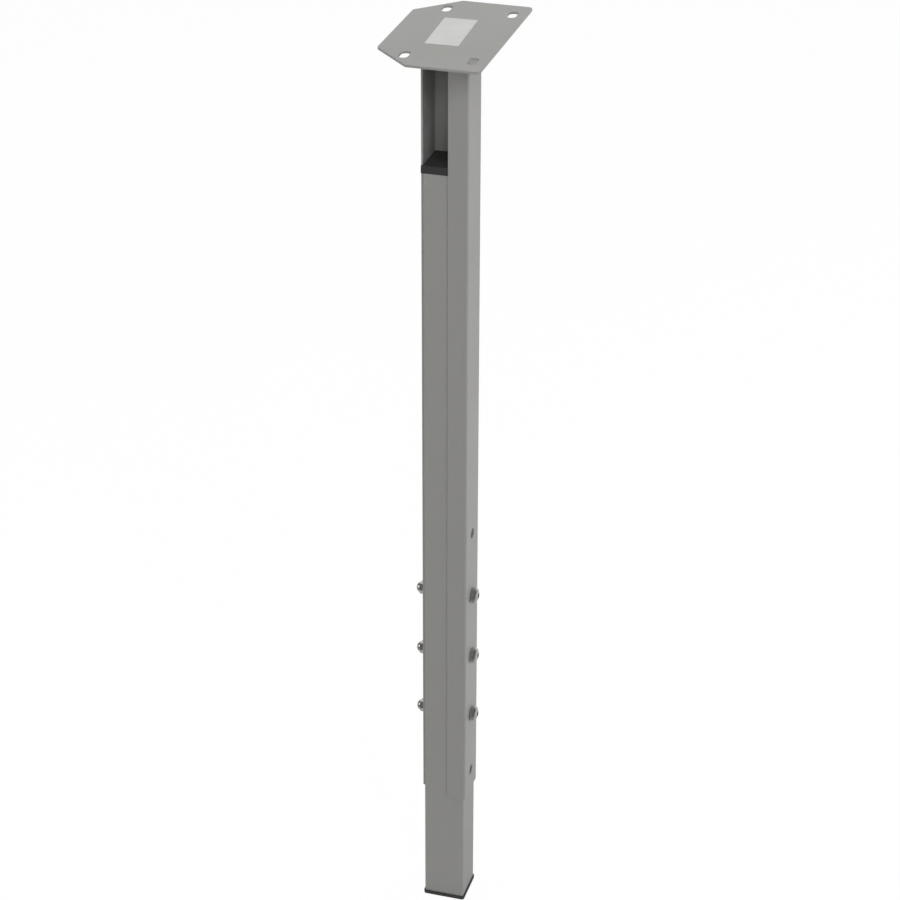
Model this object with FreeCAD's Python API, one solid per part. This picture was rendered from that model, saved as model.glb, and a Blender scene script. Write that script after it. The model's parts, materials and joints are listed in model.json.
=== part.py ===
import FreeCAD, Part
import math
import os

# Adjustable furniture leg. A square-cornered tube with a plastic foot slides inside an open-fronted
# sheet steel sleeve, the sleeve is welded under a mounting plate, and three bolts with cap nuts
# clamp sleeve and tube together at the height that is wanted.
# Millimetres. +Z is up, the open front of the sleeve faces +X and the bolts run along Y, with their
# heads on the +Y side. The origin is the middle of the foot's underside.

# Sliding tube
tube_depth = 34.0
tube_width = 35.5
tube_wall = 1.5
tube_corner_radius = 1.5
tube_inner_radius = 0.5
tube_length = 693.0

# Sleeve, bent from one sheet
sleeve_wall = 1.5
sleeve_bend = 1.5
slide_clearance = 0.3
sleeve_length = 693.0
sleeve_lift = 111.0
lip_width = 16.3
free_edge_setback = 2.1
free_wall_rise = 6.0
free_corner_radius = 1.0

# Bolt holes in the sleeve and the travel that the tube's slots leave
hole_count = 5
hole_pitch = 60.0
first_hole = 20.0
hole_diameter = 9.0
travel_down = 65.0
travel_up = 300.0
slot_clearance = 0.5

# Bolts, washers and cap nuts, which leave the lowest and the highest hole empty
bolt_names = ("lower", "middle", "upper")
bolt_diameter = 6.0
head_diameter = 13.2
head_height = 4.4
head_rim = 1.0
socket_flats = 4.0
socket_depth = 2.2
washer_diameter = 12.0
washer_thickness = 1.6
washer_clearance = 0.2
nut_flats = 10.0
nut_hex_height = 4.8
nut_dome_diameter = 9.5
nut_height = 8.3
nut_bore_depth = 6.5
nut_base_chamfer = 0.5
thread_clearance = 0.05
bolt_end_clearance = 0.5

# Mounting plate
plate_thickness = 2.0
plate_depth = 153.0
plate_width = 88.5
plate_chamfer = 31.5
plate_corner_radius = 4.0
plate_slot_width = 7.5
plate_slot_length = 15.0
plate_slot_spacing_x = 110.0
plate_slot_spacing_y = 53.0
plate_slot_offset = 6.7

# Weld beads between the sleeve and the plate
weld_leg = 2.5
weld_bulge = 1.4
weld_end_gap = 1.0

# Plastic foot and guide plug, both with a ribbed insert in the tube
foot_thickness = 3.5
foot_overhang = 1.0
foot_edge_radius = 1.0
insert_length = 18.0
insert_wall = 2.0
insert_gap = 0.8
fin_gap = 0.1
fin_thickness = 1.5
fin_count = 3
guide_height = 6.5
guide_clearance = 0.25
guide_edge_radius = 0.6
hook_inset = 0.3

# Sizes that follow from those above
tube_bottom = foot_thickness
tube_top = tube_bottom + tube_length
channel_depth = tube_depth + 2 * slide_clearance
channel_width = tube_width + 2 * slide_clearance
sleeve_depth = channel_depth + 2 * sleeve_wall
sleeve_width = channel_width + 2 * sleeve_wall
sleeve_top = sleeve_lift + sleeve_length
sleeve_bend_outer = sleeve_bend + sleeve_wall
lip_edge = sleeve_width / 2 - lip_width
free_edge = tube_depth / 2 - free_edge_setback
free_wall_bottom = sleeve_lift + free_wall_rise
hole_heights = [sleeve_lift + first_hole + hole_pitch * step for step in range(hole_count)]
bolt_heights = dict(zip(bolt_names, hole_heights[1:]))
fastener_face = sleeve_width / 2 + washer_thickness
bore_depth = tube_depth - 2 * tube_wall
bore_width = tube_width - 2 * tube_wall

UP = FreeCAD.Vector(0, 0, 1)
ACROSS = FreeCAD.Vector(1, 0, 0)
CENTRE = FreeCAD.Vector(0, 0, 0)


def block(depth, width, bottom, height):
    """Square-edged upright block centred on the leg's axis."""
    return Part.makeBox(depth, width, height, FreeCAD.Vector(-depth / 2, -width / 2, bottom))


def bar(depth, width, bottom, height, corner):
    """Upright bar centred on the leg's axis, with rounded upright edges."""
    square = block(depth, width, bottom, height)
    return square.makeFillet(corner, upright_edges(square))


def upright_edges(shape):
    """The straight edges of a shape that run along Z."""
    return [edge for edge in shape.Edges if abs(edge.tangentAt(edge.FirstParameter).z) > 0.999]


def corner_edges(shape, depth, width):
    """The upright edges of a shape at those corners of a rectangle about the axis that it has."""
    def off_corner(point):
        return abs(abs(point.x) - depth / 2) + abs(abs(point.y) - width / 2)

    return [edge for edge in upright_edges(shape) if off_corner(edge.CenterOfMass) < 0.01]


def prism(points, direction):
    """Solid from a closed outline of straight sides, extruded along a vector."""
    corners = [FreeCAD.Vector(*point) for point in points]
    return Part.Face(Part.makePolygon(corners + corners[:1])).extrude(direction)


def obround(length, width, height):
    """Slot-shaped solid standing on the XY plane, long along X and centred on the axis."""
    run = (length - width) / 2
    radius = width / 2
    ends = [Part.makeCylinder(radius, height, FreeCAD.Vector(side * run, 0, 0)) for side in (-1, 1)]
    middle = Part.makeBox(2 * run, width, height, FreeCAD.Vector(-run, -radius, 0))
    return middle.fuse(ends).removeSplitter()


def hexagon(flats, bottom, height):
    """Hexagonal prism on the Z axis, measured across its flats."""
    radius = flats / math.sqrt(3)
    angles = [math.radians(60 * side) for side in range(6)]
    corners = [(radius * math.cos(angle), radius * math.sin(angle), bottom) for angle in angles]
    return prism(corners, UP * height)


def revolved(edges):
    """Solid turned about the Z axis from edges that start and end on it."""
    return Part.Face(Part.Wire(edges)).revolve(CENTRE, UP, 360)


def line(start, end):
    """Straight edge between two points of the XZ plane, given as radius and height."""
    return Part.LineSegment(FreeCAD.Vector(start[0], 0, start[1]),
                            FreeCAD.Vector(end[0], 0, end[1])).toShape()


def dome_arc(radius, bottom, top):
    """Arc from a rim up to the axis, part of the circle whose centre is on the axis."""
    rise = top - bottom
    sphere = (radius ** 2 + rise ** 2) / (2 * rise)
    half_angle = math.asin(min(1.0, radius / sphere)) / 2
    if rise > radius:
        half_angle = (math.pi - math.asin(radius / sphere)) / 2
    middle = (sphere * math.sin(half_angle), top - sphere * (1 - math.cos(half_angle)))
    return Part.Arc(FreeCAD.Vector(radius, 0, bottom), FreeCAD.Vector(middle[0], 0, middle[1]),
                    FreeCAD.Vector(0, 0, top)).toShape()


def across_leg(shape, outward, face, height):
    """Turn a shape made along +Z to point along Y, and put its base on a side face of the leg."""
    turned = shape.copy()
    turned.rotate(CENTRE, ACROSS, -90 * outward)
    turned.translate(FreeCAD.Vector(0, outward * face, height))
    return turned


def make_top_plate():
    """Flat plate with two corners cut off and four slots that run along X."""
    far = plate_depth / 2
    side = plate_width / 2
    outline = [(-far, side, sleeve_top), (far, side, sleeve_top),
               (far, plate_chamfer - side, sleeve_top), (far - plate_chamfer, -side, sleeve_top),
               (plate_chamfer - far, -side, sleeve_top), (-far, plate_chamfer - side, sleeve_top)]
    plate = prism(outline, UP * plate_thickness)
    plate = plate.makeFillet(plate_corner_radius, upright_edges(plate))
    for x in (-plate_slot_spacing_x / 2, plate_slot_spacing_x / 2):
        for y in (-plate_slot_spacing_y / 2, plate_slot_spacing_y / 2):
            slot = obround(plate_slot_length, plate_slot_width, plate_thickness)
            slot.translate(FreeCAD.Vector(x, plate_slot_offset + y, sleeve_top))
            plate = plate.cut(slot)
    return plate


def make_sleeve():
    """Bent sheet with a left wall, a back, a right wall and a lip over part of the front."""
    outside = block(sleeve_depth, sleeve_width, sleeve_lift, sleeve_length)
    channel = block(channel_depth, channel_width, sleeve_lift, sleeve_length)
    window = Part.makeBox(sleeve_depth, sleeve_width / 2 + lip_edge, sleeve_length,
                          FreeCAD.Vector(free_edge, -sleeve_width / 2, sleeve_lift))
    sleeve = outside.cut([channel, window])
    sleeve = sleeve.makeFillet(sleeve_bend, corner_edges(sleeve, channel_depth, channel_width))
    sleeve = sleeve.makeFillet(sleeve_bend_outer, corner_edges(sleeve, sleeve_depth, sleeve_width))
    notch_back = sleeve_bend - channel_depth / 2
    notch = Part.makeBox(free_edge - notch_back, sleeve_wall, free_wall_rise,
                         FreeCAD.Vector(notch_back, -sleeve_width / 2, sleeve_lift))
    sleeve = sleeve.cut(notch)
    free_corner = FreeCAD.Vector(free_edge, -sleeve_width / 2 + sleeve_wall / 2, free_wall_bottom)
    rounded = [edge for edge in sleeve.Edges if edge.CenterOfMass.distanceToPoint(free_corner) < 0.01]
    sleeve = sleeve.makeFillet(free_corner_radius, rounded)
    for height in hole_heights:
        drill = Part.makeCylinder(hole_diameter / 2, sleeve_width)
        sleeve = sleeve.cut(across_leg(drill, 1, -sleeve_width / 2, height))
    return sleeve


def make_tube():
    """Tube with a long slot in each side wall, in which the bolts slide."""
    outside = bar(tube_depth, tube_width, tube_bottom, tube_length, tube_corner_radius)
    bore = bar(bore_depth, bore_width, tube_bottom, tube_length, tube_inner_radius)
    slot_half_width = bolt_diameter / 2 + slot_clearance
    slot_bottom = bolt_heights["lower"] - travel_down - slot_half_width
    slot_top = bolt_heights["upper"] + travel_up + slot_half_width
    slot = obround(slot_top - slot_bottom, 2 * slot_half_width, tube_width)
    slot.rotate(CENTRE, FreeCAD.Vector(0, 1, 0), 90)
    slot.rotate(CENTRE, UP, 90)
    slot.translate(FreeCAD.Vector(0, -tube_width / 2, (slot_bottom + slot_top) / 2))
    return outside.cut(bore).cut(slot)


def make_insert(seat, direction):
    """Hollow ribbed insert that goes into the tube from a seat, up (1) or down (-1)."""
    def length_of_bar(gap, start, length):
        low = seat + direction * start if direction > 0 else seat + direction * (start + length)
        return bar(bore_depth - 2 * gap, bore_width - 2 * gap, low, length, tube_inner_radius)

    insert = length_of_bar(insert_gap, 0, insert_length)
    for fin in range(fin_count):
        start = insert_length * (fin + 1) / (fin_count + 1) - fin_thickness / 2
        insert = insert.fuse(length_of_bar(fin_gap, start, fin_thickness))
    hollow = length_of_bar(insert_gap + insert_wall, 0, insert_length)
    return insert.cut(hollow)


def make_foot_cap():
    """Foot with a base that is a little wider than the tube."""
    base = bar(tube_depth + 2 * foot_overhang, tube_width + 2 * foot_overhang, 0, foot_thickness,
               tube_corner_radius + foot_overhang)
    rim = [edge for edge in base.Edges if edge.BoundBox.ZMax < 0.01]
    base = base.makeFillet(foot_edge_radius, rim)
    return base.fuse(make_insert(tube_bottom, 1)).removeSplitter()


def make_guide_plug():
    """Plug that closes the tube's top, guides it in the sleeve and hooks round the free edge."""
    margin = slide_clearance - guide_clearance
    head_depth = tube_depth + 2 * margin
    head = bar(head_depth, tube_width + 2 * margin, tube_top, guide_height, sleeve_bend)
    hook_back = free_edge + guide_clearance
    hook_reach = sleeve_width / 2 - hook_inset
    hook = Part.makeBox(head_depth / 2 - hook_back, hook_reach, guide_height,
                        FreeCAD.Vector(hook_back, -hook_reach, tube_top))
    head = head.fuse(hook).removeSplitter()
    top_edges = [edge for edge in head.Edges if edge.BoundBox.ZMin > tube_top + guide_height - 0.01]
    head = head.makeFillet(guide_edge_radius, top_edges)
    return head.fuse(make_insert(tube_top, -1)).removeSplitter()


def make_bolt(height):
    """Truss-head bolt with a hexagon socket, its head on the washer at the sleeve's right side."""
    length = 2 * fastener_face + nut_bore_depth - bolt_end_clearance
    shank = Part.makeCylinder(bolt_diameter / 2, length, CENTRE, UP * -1)
    radius = head_diameter / 2
    head = revolved([line((0, 0), (radius, 0)), line((radius, 0), (radius, head_rim)),
                     dome_arc(radius, head_rim, head_height), line((0, head_height), (0, 0))])
    socket = hexagon(socket_flats, head_height - socket_depth, socket_depth)
    bolt = head.fuse(shank).removeSplitter().cut(socket)
    return across_leg(bolt, 1, fastener_face, height)


def make_washer(outward, height):
    """Flat washer on the right (1) or left (-1) side of the sleeve."""
    washer = Part.makeCylinder(washer_diameter / 2, washer_thickness)
    bore = Part.makeCylinder(bolt_diameter / 2 + washer_clearance, washer_thickness)
    return across_leg(washer.cut(bore), outward, sleeve_width / 2, height)


def make_cap_nut(height):
    """Cap nut with a blind bore, on the washer at the sleeve's left side."""
    radius = nut_flats / 2
    corner = nut_flats / math.sqrt(3)
    dome = nut_dome_diameter / 2
    blank = revolved([line((0, 0), (radius, 0)), line((radius, 0), (corner, nut_base_chamfer)),
                      line((corner, nut_base_chamfer), (corner, nut_hex_height - nut_base_chamfer)),
                      line((corner, nut_hex_height - nut_base_chamfer), (radius, nut_hex_height)),
                      line((radius, nut_hex_height), (dome, nut_hex_height)),
                      dome_arc(dome, nut_hex_height, nut_height), line((0, nut_height), (0, 0))])
    nut = blank.common(hexagon(nut_flats, 0, nut_height))
    bore = Part.makeCylinder(bolt_diameter / 2 + thread_clearance, nut_bore_depth)
    return across_leg(nut.cut(bore), -1, fastener_face, height)


def make_weld(length):
    """Fillet weld with a slightly rounded face, along X under the plate, on the +Y side of a wall."""
    toe = FreeCAD.Vector(0, weld_leg, 0)
    root = FreeCAD.Vector(0, 0, -weld_leg)
    crown = FreeCAD.Vector(0, weld_bulge, -weld_bulge)
    outline = Part.Wire([Part.makeLine(CENTRE, toe), Part.Arc(toe, crown, root).toShape(),
                         Part.makeLine(root, CENTRE)])
    bead = Part.Face(outline).extrude(ACROSS * length)
    bead.translate(ACROSS * (-length / 2))
    return bead


def make_welds():
    """One bead on the flat of each wall of the sleeve, and one on the lip."""
    side_length = channel_depth - 2 * sleeve_bend - 2 * weld_end_gap
    back_length = channel_width - 2 * sleeve_bend - 2 * weld_end_gap
    front_length = lip_width - sleeve_bend_outer - 2 * weld_end_gap
    front_middle = lip_edge + weld_end_gap + front_length / 2
    places = {"right_weld": (side_length, 0, (0, sleeve_width / 2)),
              "left_weld": (side_length, 180, (0, -sleeve_width / 2)),
              "back_weld": (back_length, 90, (-sleeve_depth / 2, 0)),
              "front_weld": (front_length, -90, (sleeve_depth / 2, front_middle))}
    welds = {}
    for name, (length, turn, (x, y)) in places.items():
        bead = make_weld(length)
        bead.rotate(CENTRE, UP, turn)
        bead.translate(FreeCAD.Vector(x, y, sleeve_top))
        welds[name] = bead
    return welds


pieces = {"top_plate": make_top_plate(), "outer_sleeve": make_sleeve(), "inner_tube": make_tube(),
          "guide_plug": make_guide_plug(), "foot_cap": make_foot_cap()}
pieces.update(make_welds())
for name, height in bolt_heights.items():
    pieces[name + "_bolt"] = make_bolt(height)
    pieces[name + "_washer"] = make_washer(1, height)
    pieces[name + "_nut_washer"] = make_washer(-1, height)
    pieces[name + "_cap_nut"] = make_cap_nut(height)

os.makedirs("parts", exist_ok=True)
for name, shape in pieces.items():
    shape.exportStep("parts/" + name + ".step")
    box = shape.BoundBox
    print(name, len(shape.Solids), shape.isValid(), round(shape.Volume, 1),
          [round(v, 2) for v in (box.XMin, box.XMax, box.YMin, box.YMax, box.ZMin, box.ZMax)])
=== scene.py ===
import bpy
import json
import math
from mathutils import Matrix, Vector

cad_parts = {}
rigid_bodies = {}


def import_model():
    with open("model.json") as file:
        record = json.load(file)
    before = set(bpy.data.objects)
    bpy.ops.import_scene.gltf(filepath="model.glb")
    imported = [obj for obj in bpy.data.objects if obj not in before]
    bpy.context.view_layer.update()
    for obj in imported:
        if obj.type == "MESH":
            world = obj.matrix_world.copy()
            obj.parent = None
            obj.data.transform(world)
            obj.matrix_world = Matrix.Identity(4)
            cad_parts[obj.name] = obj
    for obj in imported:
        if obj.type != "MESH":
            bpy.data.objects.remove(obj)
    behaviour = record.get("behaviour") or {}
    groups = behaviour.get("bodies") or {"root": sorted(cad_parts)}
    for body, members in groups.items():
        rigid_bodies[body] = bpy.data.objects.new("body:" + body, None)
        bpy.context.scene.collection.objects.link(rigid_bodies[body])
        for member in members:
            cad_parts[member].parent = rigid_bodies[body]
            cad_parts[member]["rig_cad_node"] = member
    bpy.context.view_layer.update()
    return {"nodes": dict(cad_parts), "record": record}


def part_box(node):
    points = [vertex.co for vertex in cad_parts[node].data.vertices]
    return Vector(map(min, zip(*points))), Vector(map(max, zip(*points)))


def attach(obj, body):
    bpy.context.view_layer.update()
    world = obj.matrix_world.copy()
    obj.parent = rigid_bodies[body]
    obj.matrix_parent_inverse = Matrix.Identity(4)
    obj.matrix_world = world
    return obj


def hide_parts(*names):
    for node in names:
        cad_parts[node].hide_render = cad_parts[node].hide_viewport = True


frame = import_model()
nodes = frame["nodes"]
print("leg frame loaded:", len(nodes), "nodes")


def clearSelection():
    bpy.ops.object.select_all(action="DESELECT")


def pickOnly(obj):
    clearSelection()
    obj.select_set(True)
    bpy.context.view_layer.objects.active = obj


def editMode(obj, kind="VERT"):
    pickOnly(obj)
    bpy.ops.object.mode_set(mode="EDIT")
    bpy.ops.mesh.select_mode(type=kind)
    bpy.ops.mesh.select_all(action="SELECT")


def objectMode():
    bpy.ops.object.mode_set(mode="OBJECT")


def pickFaces(obj, test):
    # leaves the object in edit mode with the faces that pass the test selected
    editMode(obj, "FACE")
    bpy.ops.mesh.select_all(action="DESELECT")
    objectMode()
    for face in obj.data.polygons:
        face.select = test(face)
    bpy.ops.object.mode_set(mode="EDIT")


def addModifier(obj, kind, **values):
    modifier = obj.modifiers.new(kind.lower(), kind)
    for name, value in values.items():
        setattr(modifier, name, value)


def applyModifiers(obj):
    pickOnly(obj)
    for modifier in list(obj.modifiers):
        bpy.ops.object.modifier_apply(modifier=modifier.name)


def roundEdges(obj, width, segments, angle):
    # rounds the edges that turn by more than the angle, in degrees
    addModifier(obj, "BEVEL", width=width, segments=segments, limit_method="ANGLE",
                angle_limit=math.radians(angle))
    applyModifiers(obj)


def smoothPiece(obj, angle=40):
    pickOnly(obj)
    bpy.ops.object.shade_smooth_by_angle(angle=math.radians(angle))
    addModifier(obj, "WEIGHTED_NORMAL", keep_sharp=True, weight=60)
    applyModifiers(obj)


def settle(obj):
    # the place goes into the mesh
    pickOnly(obj)
    bpy.ops.object.transform_apply(location=True, rotation=True, scale=True)


def middle(nodeName):
    low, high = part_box(nodeName)
    return (Vector(low) + Vector(high)) / 2


# painted, moulded and plated finishes

def addNode(tree, kind, **values):
    made = tree.nodes.new(kind)
    for name, value in values.items():
        setattr(made, name, value)
    return made


def startGroup(name, inputs, outputs):
    tree = bpy.data.node_groups.new(name, "ShaderNodeTree")
    for label, value in inputs.items():
        socket = tree.interface.new_socket(label, in_out="INPUT", socket_type="NodeSocketFloat")
        socket.default_value = value
    for label in outputs:
        tree.interface.new_socket(label, in_out="OUTPUT", socket_type="NodeSocketFloat")
    return tree, tree.nodes.new("NodeGroupInput"), tree.nodes.new("NodeGroupOutput")


def grainGroup():
    # a fine height, a speckle and broad patches, all on the piece's own coordinates
    scales = {"Grain": 900.0, "Speckle": 2600.0, "Patch": 9.0}
    noises = {"Height": ("Grain", 2.0), "Fleck": ("Speckle", 1.0), "Cloud": ("Patch", 4.0)}
    tree, given, out = startGroup("surfaceGrain", scales, noises)
    place = addNode(tree, "ShaderNodeTexCoord")
    for label, (scale, detail) in noises.items():
        noise = addNode(tree, "ShaderNodeTexNoise")
        noise.inputs["Detail"].default_value = detail
        tree.links.new(place.outputs["Object"], noise.inputs["Vector"])
        tree.links.new(given.outputs[scale], noise.inputs["Scale"])
        tree.links.new(noise.outputs["Fac"], out.inputs[label])
    return tree


def edgeGroup():
    # how near a point is to a sharp edge, for an edge colour: a painted highlight on the coat and
    # plastic, darker edges on the label
    tree, given, out = startGroup("edgeNearness", {"Reach": 0.0006, "Gain": 3.0}, ["Mask"])
    rounded = addNode(tree, "ShaderNodeBevel", samples=6)
    tree.links.new(given.outputs["Reach"], rounded.inputs["Radius"])
    flat = addNode(tree, "ShaderNodeNewGeometry")
    dot = addNode(tree, "ShaderNodeVectorMath", operation="DOT_PRODUCT")
    tree.links.new(rounded.outputs["Normal"], dot.inputs[0])
    tree.links.new(flat.outputs["Normal"], dot.inputs[1])
    away = addNode(tree, "ShaderNodeMath", operation="SUBTRACT")
    away.inputs[0].default_value = 1.0
    tree.links.new(dot.outputs["Value"], away.inputs[1])
    strong = addNode(tree, "ShaderNodeMath", operation="MULTIPLY", use_clamp=True)
    tree.links.new(away.outputs[0], strong.inputs[0])
    tree.links.new(given.outputs["Gain"], strong.inputs[1])
    tree.links.new(strong.outputs[0], out.inputs["Mask"])
    return tree


surfaceGrain = grainGroup()
edgeNearness = edgeGroup()


def startMaterial(name):
    material = bpy.data.materials.new(name)
    material.use_nodes = True
    tree = material.node_tree
    return material, tree, tree.nodes["Principled BSDF"]


def placeGroup(tree, group, values):
    made = addNode(tree, "ShaderNodeGroup", node_tree=group)
    for label, value in values.items():
        made.inputs[label].default_value = value
    return made


def mixColour(tree, factor, first, second):
    mix = addNode(tree, "ShaderNodeMix", data_type="RGBA")
    tree.links.new(factor, mix.inputs["Factor"])
    for socket, colour in ((mix.inputs[6], first), (mix.inputs[7], second)):
        if isinstance(colour, tuple):
            socket.default_value = (*colour, 1.0)
        else:
            tree.links.new(colour, socket)
    return mix.outputs[2]


def spread(tree, value, low, high, fromLow=0.3, fromHigh=0.7):
    # a noise lies mostly between 0.3 and 0.7
    ranged = addNode(tree, "ShaderNodeMapRange")
    ranged.inputs["From Min"].default_value = fromLow
    ranged.inputs["From Max"].default_value = fromHigh
    ranged.inputs["To Min"].default_value = low
    ranged.inputs["To Max"].default_value = high
    tree.links.new(value, ranged.inputs["Value"])
    return ranged.outputs["Result"]


def bumpFrom(tree, height, strength, distance):
    bump = addNode(tree, "ShaderNodeBump")
    bump.inputs["Strength"].default_value = strength
    bump.inputs["Distance"].default_value = distance
    tree.links.new(height, bump.inputs["Height"])
    return bump.outputs["Normal"]


# bump is strength and distance
# the silver coat's lighter edge colour is a painted highlight along its edges
silverCoat = {"name": "silverPowderCoat", "low": (0.375, 0.372, 0.358),
              "high": (0.435, 0.431, 0.414), "edge": (0.47, 0.466, 0.45),
              "rough": (0.44, 0.54), "metallic": 0.12, "bump": (0.12, 0.0002),
              "toneBy": "Fleck", "roughBy": "Cloud",
              "grain": {"Grain": 1100.0, "Speckle": 3400.0, "Patch": 11.0},
              "edgeBlend": {"Reach": 0.0007, "Gain": 1.6}}
# the plastic's lighter edge colour is a painted highlight along its edges
blackPlastic = {"name": "blackMouldedPlastic", "low": (0.041, 0.041, 0.040),
                "high": (0.056, 0.056, 0.055), "edge": (0.070, 0.070, 0.069),
                "rough": (0.46, 0.60), "metallic": 0.0, "bump": (0.2, 0.0002),
                "toneBy": "Fleck", "roughBy": "Cloud",
                "grain": {"Grain": 1500.0, "Speckle": 700.0, "Patch": 40.0},
                "edgeBlend": {"Reach": 0.0006, "Gain": 1.2}}
platedGrain = {"Grain": 1800.0, "Speckle": 300.0, "Patch": 120.0}
brightZinc = {"name": "brightZincPlate", "low": (0.54, 0.54, 0.54), "high": (0.62, 0.62, 0.61),
              "rough": (0.30, 0.38), "metallic": 1.0, "bump": (0.02, 0.0001),
              "toneBy": "Fleck", "roughBy": "Cloud", "grain": platedGrain}
polishedNickel = {"name": "polishedNickel", "low": (0.62, 0.61, 0.59), "high": (0.70, 0.69, 0.67),
                  "rough": (0.05, 0.10), "metallic": 1.0, "bump": (0.01, 0.0001),
                  "toneBy": "Fleck", "roughBy": "Cloud", "grain": platedGrain}
# the label is darker near its edges
labelPaper = {"name": "blankLabelPaper", "low": (0.70, 0.70, 0.69), "high": (0.76, 0.76, 0.75),
              "edge": (0.58, 0.58, 0.56), "rough": (0.55, 0.65), "metallic": 0.0,
              "bump": (0.15, 0.0001), "toneBy": "Cloud", "roughBy": "Fleck",
              "grain": {"Grain": 2200.0, "Speckle": 900.0, "Patch": 60.0},
              "edgeBlend": {"Reach": 0.0005, "Gain": 1.0}}


def makeFinish(info):
    # two tones by one noise, roughness by another, a fine bump, and on most an edge colour near
    # sharp edges (a painted highlight on the coat and plastic, darker edges on the label)
    material, tree, skin = startMaterial(info["name"])
    grain = placeGroup(tree, surfaceGrain, info["grain"])
    tone = spread(tree, grain.outputs[info["toneBy"]], 0.0, 1.0)
    colour = mixColour(tree, tone, info["low"], info["high"])
    # edge colour near sharp edges: a painted highlight on the coat and plastic, darker edges on
    # the label
    if "edgeBlend" in info:
        edgeBlend = placeGroup(tree, edgeNearness, info["edgeBlend"])
        colour = mixColour(tree, edgeBlend.outputs["Mask"], colour, info["edge"])
    tree.links.new(colour, skin.inputs["Base Color"])
    rough = spread(tree, grain.outputs[info["roughBy"]], *info["rough"])
    tree.links.new(rough, skin.inputs["Roughness"])
    skin.inputs["Metallic"].default_value = info["metallic"]
    normal = bumpFrom(tree, grain.outputs["Height"], *info["bump"])
    tree.links.new(normal, skin.inputs["Normal"])
    return material


finishes = {"silver_paint": makeFinish(silverCoat), "black_plastic": makeFinish(blackPlastic),
            "bright_zinc": makeFinish(brightZinc), "nickel": makeFinish(polishedNickel)}
slotOf = {row["node"]: row["material_slot"] for row in frame["record"]["subparts"]}


def dress(obj, material):
    obj.data.materials.clear()
    obj.data.materials.append(material)


for name, obj in nodes.items():
    dress(obj, finishes[slotOf[name]])
print("finishes ready:", ", ".join(finishes))


def seat(piece, name, body, *standsFor):
    # names a finished piece, ties it to its body and hides the nodes it stands for
    piece.name = name
    piece.data.name = name
    slotName = slotOf[standsFor[0]]
    dress(piece, finishes[slotName])
    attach(piece, body)
    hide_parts(*standsFor)


# sheet and moulded pieces get the small round edges that paint and moulding leave

softEdges = {"top_plate": ("coatedPlate", "upper", 0.0004),
             "outer_sleeve": ("coatedSleeve", "upper", 0.0005),
             "inner_tube": ("coatedTube", "lower", 0.0003),
             "guide_plug": ("mouldedPlug", "lower", 0.00025),
             "foot_cap": ("mouldedFoot", "lower", 0.00025)}
softening = {"joinWithin": 0.00001, "flatWithin": 0.5, "segments": 3, "sharpFrom": 35}


def softCopy(nodeName, pieceName, body, width):
    pickOnly(nodes[nodeName])
    bpy.ops.object.duplicate()
    piece = bpy.context.object
    piece.parent = None
    del piece["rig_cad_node"]
    editMode(piece)
    bpy.ops.mesh.customdata_custom_splitnormals_clear()
    bpy.ops.mesh.remove_doubles(threshold=softening["joinWithin"])
    bpy.ops.mesh.dissolve_limited(angle_limit=math.radians(softening["flatWithin"]))
    objectMode()
    roundEdges(piece, width, softening["segments"], softening["sharpFrom"])
    smoothPiece(piece)
    seat(piece, pieceName, body, nodeName)


for nodeName, (pieceName, body, width) in softEdges.items():
    softCopy(nodeName, pieceName, body, width)
print("edges softened:", len(softEdges), "pieces")


# bolts, washers and cap nuts are modelled upright at the origin, then laid across the leg
# rounding is width, segments and the least angle that is rounded

bolt = {"headRadius": 0.0066, "headRim": 0.0010, "headHeight": 0.0044, "domeSteps": 10,
        "shankRadius": 0.003, "socketFlats": 0.004, "socketDepth": 0.0022, "sides": 64,
        "rounding": (0.0002, 2, 50)}
washer = {"radius": 0.006, "boreRadius": 0.0032, "thickness": 0.0016, "sides": 72,
          "rounding": (0.00025, 3, 50)}
nut = {"flats": 0.010, "hexHeight": 0.0048, "domeRadius": 0.00475, "height": 0.0083,
       "boreRadius": 0.00305, "boreDepth": 0.0065, "domeSink": 0.0005, "sides": 64,
       "turnGap": 0.0001, "turnAngle": 50, "rounding": (0.0002, 2, 40)}
levels = ("lower", "middle", "upper")
hexSides = 6
flatFacing = 0.9
flatWithin = 0.00005


def cutWith(piece, tool, operation):
    addModifier(piece, "BOOLEAN", operation=operation, solver="EXACT", object=tool)
    applyModifiers(piece)
    bpy.data.objects.remove(tool, do_unlink=True)


def addCylinder(sides, radius, bottom, top):
    clearSelection()
    bpy.ops.mesh.primitive_cylinder_add(vertices=sides, radius=radius, depth=top - bottom,
                                        location=(0, 0, (bottom + top) / 2))
    settle(bpy.context.object)
    return bpy.context.object


def facesAt(height, side):
    # level faces at that height that look up (1) or down (-1)
    def test(face):
        return face.normal.z * side > flatFacing and abs(face.center.z - height) < flatWithin

    return test


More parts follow.
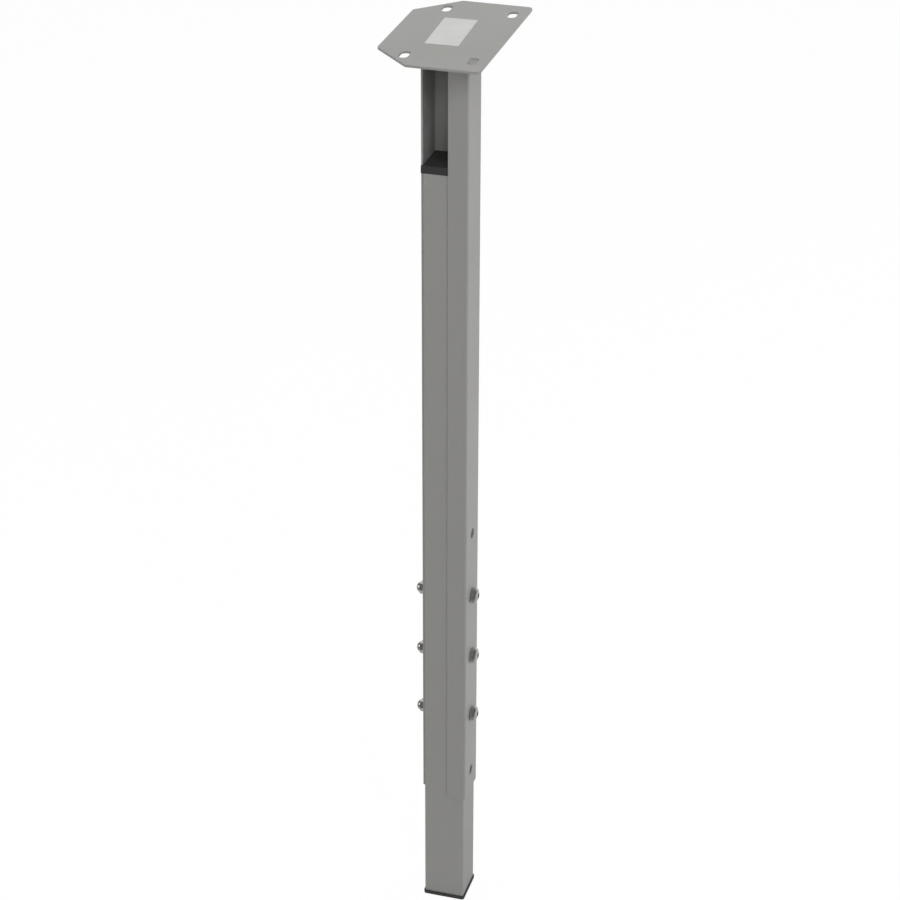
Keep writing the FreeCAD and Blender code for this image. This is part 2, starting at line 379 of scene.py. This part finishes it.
def makeBolt(info, length):
    # domed head by extruding and shrinking the top face, then the shank from the underside
    piece = addCylinder(info["sides"], info["headRadius"], 0, info["headRim"])
    rise = info["headHeight"] - info["headRim"]
    pickFaces(piece, facesAt(info["headRim"], 1))
    radius, height = info["headRadius"], info["headRim"]
    for step in range(1, info["domeSteps"] + 1):
        angle = math.radians(90) * step / (info["domeSteps"] + 1)
        newRadius = info["headRadius"] * math.cos(angle)
        newHeight = info["headRim"] + rise * math.sin(angle)
        lift = (0, 0, newHeight - height)
        bpy.ops.mesh.extrude_region_move(TRANSFORM_OT_translate={"value": lift})
        shrink = newRadius / radius
        bpy.ops.transform.resize(value=(shrink, shrink, 1), center_override=(0, 0, newHeight))
        radius, height = newRadius, newHeight
    objectMode()
    pickFaces(piece, facesAt(0, -1))
    bpy.ops.mesh.inset(thickness=info["headRadius"] - info["shankRadius"])
    bpy.ops.mesh.extrude_region_move(TRANSFORM_OT_translate={"value": (0, 0, -length)})
    objectMode()
    cornerRadius = info["socketFlats"] / math.sqrt(3)
    socketFloor = info["headHeight"] - info["socketDepth"]
    socket = addCylinder(hexSides, cornerRadius, socketFloor, info["headHeight"] * 2)
    cutWith(piece, socket, "DIFFERENCE")
    roundEdges(piece, *info["rounding"])
    return piece


def makeWasher(info):
    # disc with both faces inset, opened and bridged
    piece = addCylinder(info["sides"], info["radius"], 0, info["thickness"])
    pickFaces(piece, lambda face: abs(face.normal.z) > flatFacing)
    bpy.ops.mesh.inset(thickness=info["radius"] - info["boreRadius"], use_individual=True)
    bpy.ops.mesh.delete(type="FACE")
    bpy.ops.mesh.select_mode(type="EDGE")
    bpy.ops.mesh.select_non_manifold(extend=False)
    bpy.ops.mesh.bridge_edge_loops()
    bpy.ops.mesh.select_all(action="SELECT")
    bpy.ops.mesh.normals_make_consistent(inside=False)
    objectMode()
    roundEdges(piece, *info["rounding"])
    return piece


def makeNut(info):
    # hexagon turned down at its corners, with a dome on it and a blind bore
    cornerRadius = info["flats"] / math.sqrt(3)
    piece = addCylinder(hexSides, cornerRadius, 0, info["hexHeight"])
    piece.rotation_euler.z = math.radians(30)
    settle(piece)
    turned = addCylinder(info["sides"], cornerRadius + info["turnGap"], 0, info["hexHeight"])
    roundEdges(turned, cornerRadius - info["flats"] / 2, 1, info["turnAngle"])
    cutWith(piece, turned, "INTERSECT")
    rise = info["height"] - info["hexHeight"]
    ball = (info["domeRadius"] ** 2 + rise ** 2) / (2 * rise)
    clearSelection()
    bpy.ops.mesh.primitive_uv_sphere_add(segments=info["sides"], ring_count=info["sides"] // 2,
                                         radius=ball, location=(0, 0, info["height"] - ball))
    dome = bpy.context.object
    settle(dome)
    editMode(dome)
    bpy.ops.mesh.bisect(plane_co=(0, 0, info["hexHeight"] - info["domeSink"]),
                        plane_no=(0, 0, 1), use_fill=True, clear_inner=True)
    objectMode()
    cutWith(piece, dome, "UNION")
    bore = addCylinder(info["sides"], info["boreRadius"], -info["hexHeight"], info["boreDepth"])
    cutWith(piece, bore, "DIFFERENCE")
    roundEdges(piece, *info["rounding"])
    return piece


def layAcross(model, outward, face, height):
    pickOnly(model)
    bpy.ops.object.duplicate()
    piece = bpy.context.object
    piece.rotation_euler.x = math.radians(-90 * outward)
    piece.location = (0, face, height)
    settle(piece)
    smoothPiece(piece)
    return piece


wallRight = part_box("lower_washer")[0][1]
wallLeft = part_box("lower_nut_washer")[1][1]
headSeat = wallRight + washer["thickness"]
nutSeat = wallLeft - washer["thickness"]
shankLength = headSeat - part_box("lower_bolt")[0][1]
boltModel, washerModel, nutModel = makeBolt(bolt, shankLength), makeWasher(washer), makeNut(nut)
stack = {"_bolt": ("Bolt", boltModel, 1, headSeat),
         "_washer": ("Washer", washerModel, 1, wallRight),
         "_nut_washer": ("NutWasher", washerModel, -1, wallLeft),
         "_cap_nut": ("CapNut", nutModel, -1, nutSeat)}
for nodeEnd, (pieceEnd, model, outward, face) in stack.items():
    for level in levels:
        nodeName = level + nodeEnd
        piece = layAcross(model, outward, face, middle(nodeName).z)
        seat(piece, level + pieceEnd, "upper", nodeName)
for model in (boltModel, washerModel, nutModel):
    bpy.data.objects.remove(model, do_unlink=True)
print("fasteners laid across the leg:", len(stack) * len(levels))


# weld beads: overlapping drops along each seam, melted together and cut off at wall and plate

bead = {"radius": 0.0022, "pitch": 0.0016, "lengthen": 0.8, "dropTurn": 12, "segments": 24,
        "rings": 16, "voxel": 0.0003, "smoothTimes": 4, "smoothFactor": 0.5, "shadeAngle": 60}


def makeBead(info, length):
    # along X, with the wall at y 0 and the plate at z 0
    clearSelection()
    bpy.ops.mesh.primitive_uv_sphere_add(segments=info["segments"], ring_count=info["rings"],
                                         radius=info["radius"])
    piece = bpy.context.object
    piece.scale = (info["lengthen"], 1, 1)
    piece.rotation_euler.z = math.radians(info["dropTurn"])
    piece.location.x = -length / 2 + info["radius"] * info["lengthen"]
    settle(piece)
    drops = int((length - 2 * info["radius"] * info["lengthen"]) / info["pitch"]) + 1
    addModifier(piece, "ARRAY", count=drops, use_relative_offset=False, use_constant_offset=True,
                constant_offset_displace=(info["pitch"], 0, 0))
    addModifier(piece, "REMESH", mode="VOXEL", voxel_size=info["voxel"])
    addModifier(piece, "SMOOTH", iterations=info["smoothTimes"], factor=info["smoothFactor"])
    applyModifiers(piece)
    editMode(piece)
    bpy.ops.mesh.bisect(plane_co=(0, 0, 0), plane_no=(0, 1, 0), use_fill=True, clear_inner=True)
    bpy.ops.mesh.select_all(action="SELECT")
    bpy.ops.mesh.bisect(plane_co=(0, 0, 0), plane_no=(0, 0, 1), use_fill=True, clear_outer=True)
    objectMode()
    return piece


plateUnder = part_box("top_plate")[0][2]
sleeveLow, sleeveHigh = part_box("outer_sleeve")
# each seam's piece, its turn in degrees, and the x or y of the wall it runs along
seams = {"right_weld": ("rightBead", 0, None, sleeveHigh[1]),
         "left_weld": ("leftBead", 180, None, sleeveLow[1]),
         "back_weld": ("backBead", 90, sleeveLow[0], None),
         "front_weld": ("frontBead", -90, sleeveHigh[0], None)}
for nodeName, (pieceName, turn, wallX, wallY) in seams.items():
    low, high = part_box(nodeName)
    piece = makeBead(bead, max(high[0] - low[0], high[1] - low[1]))
    centre = middle(nodeName)
    piece.rotation_euler.z = math.radians(turn)
    piece.location = (centre.x if wallX is None else wallX,
                      centre.y if wallY is None else wallY, plateUnder)
    settle(piece)
    smoothPiece(piece, bead["shadeAngle"])
    seat(piece, pieceName, "upper", nodeName)
print("seams welded:", len(seams))


# blank paper label on the plate

label = {"length": 0.0612, "width": 0.0264, "place": (-0.0034, -0.0007), "turn": 2.0,
         "gap": 0.00002, "corner": 0.0012, "cornerSteps": 5, "thickness": 0.00012,
         "edgeShare": 0.3, "edgeSteps": 2, "edgeAngle": 60}


def makeLabel(info):
    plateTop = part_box("top_plate")[1][2]
    clearSelection()
    bpy.ops.mesh.primitive_plane_add(size=1, location=(*info["place"], plateTop + info["gap"]))
    piece = bpy.context.object
    piece.scale = (info["length"], info["width"], 1)
    piece.rotation_euler.z = math.radians(info["turn"])
    settle(piece)
    editMode(piece)
    bpy.ops.mesh.bevel(offset=info["corner"], segments=info["cornerSteps"], affect="VERTICES")
    objectMode()
    addModifier(piece, "SOLIDIFY", thickness=info["thickness"], offset=1)
    edge = info["thickness"] * info["edgeShare"]
    roundEdges(piece, edge, info["edgeSteps"], info["edgeAngle"])
    smoothPiece(piece)
    piece.name = "blankLabel"
    dress(piece, makeFinish(labelPaper))
    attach(piece, "upper")


makeLabel(label)
print("label laid on the plate")


# studio: pale floor, soft lamps and the camera
# back and front values run into each other over a range of x

studio = {"floorSize": 40.0, "floorDrop": 0.0005, "floorTone": 0.80, "floorRough": 0.9,
          "floorGlow": 0.95, "floorWhite": 1.02, "ambientBack": 0.20, "ambientFront": 0.12,
          "mirrorBack": 0.80, "mirrorFront": 0.15, "ambientRange": (-0.4, 0.8),
          "skyMirrorRange": (-0.85, -0.45), "floorMirrorRange": (-0.3, 0.3)}


def floorMaterial(info):
    material, tree, skin = startMaterial("paleFloor")
    skin.inputs["Base Color"].default_value = (info["floorTone"],) * 3 + (1.0,)
    skin.inputs["Roughness"].default_value = info["floorRough"]
    # white to the eye, and to the metals pale behind the leg and dark in front of it
    path = addNode(tree, "ShaderNodeLightPath")
    place = addNode(tree, "ShaderNodeSeparateXYZ")
    tree.links.new(addNode(tree, "ShaderNodeTexCoord").outputs["Object"], place.inputs[0])
    mirrored = spread(tree, place.outputs["X"], info["mirrorBack"], info["mirrorFront"],
                      *info["floorMirrorRange"])
    strength = addNode(tree, "ShaderNodeMix", data_type="FLOAT")
    tree.links.new(path.outputs["Is Glossy Ray"], strength.inputs["Factor"])
    strength.inputs["A"].default_value = info["floorWhite"]
    tree.links.new(mirrored, strength.inputs["B"])
    glow = addNode(tree, "ShaderNodeEmission")
    tree.links.new(strength.outputs["Result"], glow.inputs["Strength"])
    share = addNode(tree, "ShaderNodeMath", operation="MULTIPLY_ADD", use_clamp=True)
    tree.links.new(path.outputs["Is Camera Ray"], share.inputs[0])
    share.inputs[1].default_value = info["floorGlow"]
    tree.links.new(path.outputs["Is Glossy Ray"], share.inputs[2])
    mix = addNode(tree, "ShaderNodeMixShader")
    tree.links.new(share.outputs[0], mix.inputs["Fac"])
    tree.links.new(skin.outputs["BSDF"], mix.inputs[1])
    tree.links.new(glow.outputs["Emission"], mix.inputs[2])
    tree.links.new(mix.outputs["Shader"], tree.nodes["Material Output"].inputs["Surface"])
    return material


clearSelection()
bpy.ops.mesh.primitive_plane_add(size=studio["floorSize"], location=(0, 0, -studio["floorDrop"]))
floor = bpy.context.object
floor.name = "paleFloor"
floor.data.materials.append(floorMaterial(studio))


def studioWorld(info):
    # white to the eye, brighter from behind the leg than from its front
    world = bpy.data.worlds.new("studioWorld")
    world.use_nodes = True
    tree = world.node_tree
    facing = addNode(tree, "ShaderNodeSeparateXYZ")
    tree.links.new(addNode(tree, "ShaderNodeTexCoord").outputs["Generated"], facing.inputs[0])
    path = addNode(tree, "ShaderNodeLightPath")
    ambient = spread(tree, facing.outputs["X"], info["ambientBack"], info["ambientFront"],
                     *info["ambientRange"])
    mirror = spread(tree, facing.outputs["X"], info["mirrorBack"], info["mirrorFront"],
                    *info["skyMirrorRange"])
    lit = addNode(tree, "ShaderNodeMix", data_type="FLOAT")
    tree.links.new(path.outputs["Is Glossy Ray"], lit.inputs["Factor"])
    tree.links.new(ambient, lit.inputs["A"])
    tree.links.new(mirror, lit.inputs["B"])
    seen = addNode(tree, "ShaderNodeMath", operation="ADD", use_clamp=True)
    tree.links.new(path.outputs["Is Camera Ray"], seen.inputs[0])
    tree.links.new(path.outputs["Is Transmission Ray"], seen.inputs[1])
    shown = addNode(tree, "ShaderNodeMix", data_type="FLOAT")
    tree.links.new(seen.outputs[0], shown.inputs["Factor"])
    tree.links.new(lit.outputs["Result"], shown.inputs["A"])
    shown.inputs["B"].default_value = 1.0
    tree.links.new(shown.outputs["Result"], tree.nodes["Background"].inputs["Strength"])
    tree.nodes["Background"].inputs["Color"].default_value = (1, 1, 1, 1)
    return world


bpy.context.scene.world = studioWorld(studio)

# each lamp looks at a height on the leg's axis
lamps = {"topSoftbox": {"place": (-0.6, -0.3, 3.4), "aim": 0.40, "size": 2.2, "power": 35.0},
         "rearSoftbox": {"place": (-1.4, 2.3, 1.0), "aim": 0.40, "size": 1.4, "power": 24.0},
         "sideSoftbox": {"place": (2.0, 1.6, 2.5), "aim": 0.45, "size": 0.8, "power": 20.0},
         "frontSoftbox": {"place": (2.3, 0.6, 2.0), "aim": 0.55, "size": 0.8, "power": 14.0},
         "leftSoftbox": {"place": (1.3, -2.3, 1.6), "aim": 0.40, "size": 0.9, "power": 11.0},
         "catchLight": {"place": (1.1, -2.26, 1.04), "aim": 0.30, "size": 1.3, "power": 9.0}}
# the one lamp that only reflections show, as the bright spot in the polished nuts
mirroredLamp = "catchLight"
for name, info in lamps.items():
    bpy.ops.object.light_add(type="AREA", location=info["place"])
    lamp = bpy.context.object
    lamp.name = name
    lamp.data.size = info["size"]
    lamp.data.energy = info["power"]
    lamp.visible_glossy = name == mirroredLamp
    lamp.visible_diffuse = name != mirroredLamp
    aim = Vector((0, 0, info["aim"])) - Vector(info["place"])
    lamp.rotation_euler = aim.to_track_quat("-Z", "Y").to_euler()

# turn, tilt and roll in degrees, place in metres, lens and sensor in millimetres
cameraInfo = {"place": (1.8009, 0.5325, 1.4582), "turn": 106.477, "tilt": 61.704,
              "roll": 0.117, "lens": 103.572, "sensor": 36.0}
bpy.ops.object.camera_add(location=cameraInfo["place"])
camera = bpy.context.object
camera.data.lens = cameraInfo["lens"]
camera.data.sensor_width = cameraInfo["sensor"]
camera.matrix_world = (Matrix.Translation(cameraInfo["place"])
                       @ Matrix.Rotation(math.radians(cameraInfo["turn"]), 4, "Z")
                       @ Matrix.Rotation(math.radians(cameraInfo["tilt"]), 4, "X")
                       @ Matrix.Rotation(math.radians(cameraInfo["roll"]), 4, "Z"))
bpy.context.scene.camera = camera
bpy.context.scene.view_settings.view_transform = "Standard"
print("studio ready")
